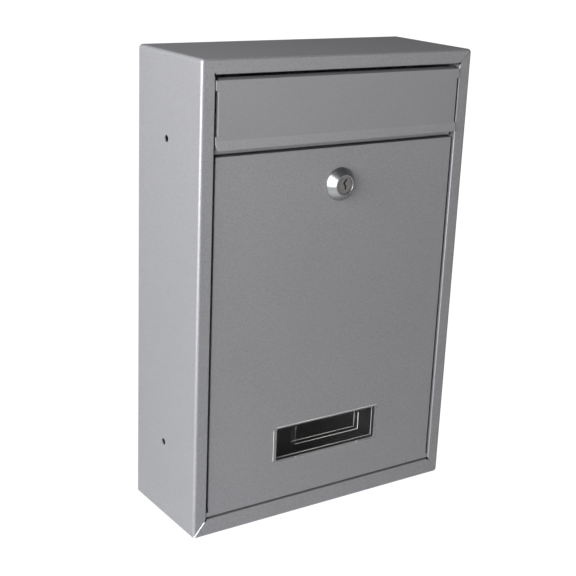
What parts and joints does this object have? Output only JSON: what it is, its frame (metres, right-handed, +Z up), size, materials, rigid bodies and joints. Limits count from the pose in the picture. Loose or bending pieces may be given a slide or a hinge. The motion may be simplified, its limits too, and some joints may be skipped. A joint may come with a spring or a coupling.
{
  "type": "wall mounted mailbox",
  "caption": "Wall mounted mailbox in silver painted sheet steel: letter flap on top, hinged door with cam lock and a clear window with a name card pocket.",
  "frame": {"origin": "centre of the four wall screw holes, on the rear face of the cabinet", "axes": "+X to the right seen from the front, +Y into the wall, +Z up"},
  "size_m": [0.214, 0.0859, 0.32],
  "materials": {
    "painted_sheet": "silver grey metallic powder coat, satin",
    "weld_bead": "bright bead",
    "pin_steel": "plain steel",
    "clear_plastic": "clear moulded plastic",
    "lock_chrome": "polished chrome",
    "plug_metal": "nickel plated die casting",
    "wafer_brass": "stamped brass",
    "zinc_steel": "bright zinc plate"
  },
  "bodies": {
    "cabinet": {"cabinet_wrapper": "painted_sheet", "seam_bead": "weld_bead", "back_panel": "painted_sheet", "divider_rail": "painted_sheet", "flap_pivot_pins": "pin_steel", "door_pivot_pins": "pin_steel"},
    "flap": {"letter_flap": "painted_sheet"},
    "door": {"door_panel": "painted_sheet", "window_insert": "clear_plastic", "lock_body": "lock_chrome", "lock_washer": "zinc_steel", "lock_nut": "zinc_steel"},
    "plug": {"lock_plug": "plug_metal", "lock_wafers": "wafer_brass", "wafer_springs": "pin_steel", "stop_washer": "zinc_steel", "lock_cam": "zinc_steel", "cam_star_washer": "zinc_steel", "cam_screw": "zinc_steel"}
  },
  "joints": [
    {"name": "flap_hinge", "type": "hinge", "parent": "cabinet", "child": "flap", "pos_m": [0, -0.0776, 0.1437], "axis": [-1, 0, 0], "range_deg": [0, 75]},
    {"name": "door_hinge", "type": "hinge", "parent": "cabinet", "child": "door", "pos_m": [0, -0.0769, -0.1436], "axis": [1, 0, 0], "range_deg": [0, 100]},
    {"name": "lock_turn", "type": "hinge", "parent": "door", "child": "plug", "pos_m": [0.0008, -0.075, 0.0746], "axis": [0, 1, 0], "range_deg": [0, 90]}
  ]
}
